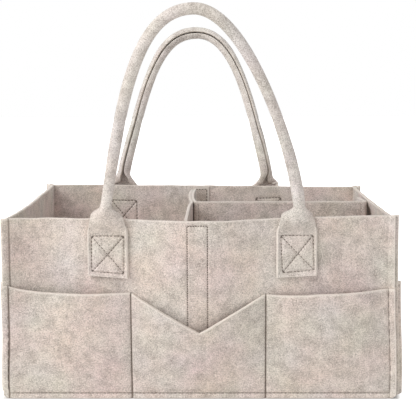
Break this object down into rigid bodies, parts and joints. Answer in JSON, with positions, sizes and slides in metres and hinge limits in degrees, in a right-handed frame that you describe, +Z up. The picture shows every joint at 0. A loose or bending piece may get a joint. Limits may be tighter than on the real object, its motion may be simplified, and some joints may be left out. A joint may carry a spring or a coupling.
{
  "type": "diaper caddy",
  "caption": "Open-top felt caddy with outside pockets, rolled felt handles and a lift-out T-shaped divider held by hook-and-loop tape.",
  "frame": {"origin": "on the floor, under the middle of the bag", "axes": "+Z up, +X to the right seen from the front, the front faces -Y"},
  "size_m": [0.397, 0.3902, 0.3779],
  "materials": {
    "felt": "oatmeal heather felt",
    "tape": "hook-and-loop tape",
    "thread": "matte sewing thread"
  },
  "bodies": {
    "bag": {"base_panel": "felt", "front_panel": "felt", "back_panel": "felt", "left_panel": "felt", "right_panel": "felt", "front_pocket_panel": "felt", "back_pocket_panel": "felt", "left_pocket_panel": "felt", "right_pocket_panel": "felt", "front_left_lug": "felt", "front_right_lug": "felt", "back_left_lug": "felt", "back_right_lug": "felt", "front_loop_strip": "tape", "back_loop_strip": "tape", "front_left_lug_stitching": "thread", "front_right_lug_stitching": "thread", "back_left_lug_stitching": "thread", "back_right_lug_stitching": "thread", "front_tape_stitching": "thread", "back_tape_stitching": "thread", "front_left_pocket_stitching": "thread", "front_right_pocket_stitching": "thread", "back_left_pocket_stitching": "thread", "back_right_pocket_stitching": "thread", "front_bottom_stitching": "thread", "back_bottom_stitching": "thread", "left_bottom_stitching": "thread", "right_bottom_stitching": "thread"},
    "front_handle": {"front_grip": "felt"},
    "back_handle": {"back_grip": "felt"},
    "divider_insert": {"cross_divider": "felt", "divider_leg": "felt", "front_hook_strip": "tape", "back_hook_strip": "tape"},
    "long_divider": {"long_divider": "felt"}
  },
  "joints": [
    {"name": "front_handle", "type": "hinge", "parent": "bag", "child": "front_handle", "pos_m": [0.003, -0.13795, 0.1834], "axis": [1, 0, 0], "range_deg": [-57, 93], "stiffness_Nm_per_rad": 0.3},
    {"name": "back_handle", "type": "hinge", "parent": "bag", "child": "back_handle", "pos_m": [-0.008, 0.13795, 0.1834], "axis": [-1, 0, 0], "range_deg": [-57, 93], "stiffness_Nm_per_rad": 0.3},
    {"name": "insert_lift", "type": "slide", "parent": "bag", "child": "divider_insert", "axis": [0, 0, 1], "range_m": [0, 0.075]},
    {"name": "long_divider_swing", "type": "hinge", "parent": "divider_insert", "child": "long_divider", "pos_m": [-0.0067, 0, 0.09], "axis": [0, 0, 1], "range_deg": [-36, 27]}
  ]
}
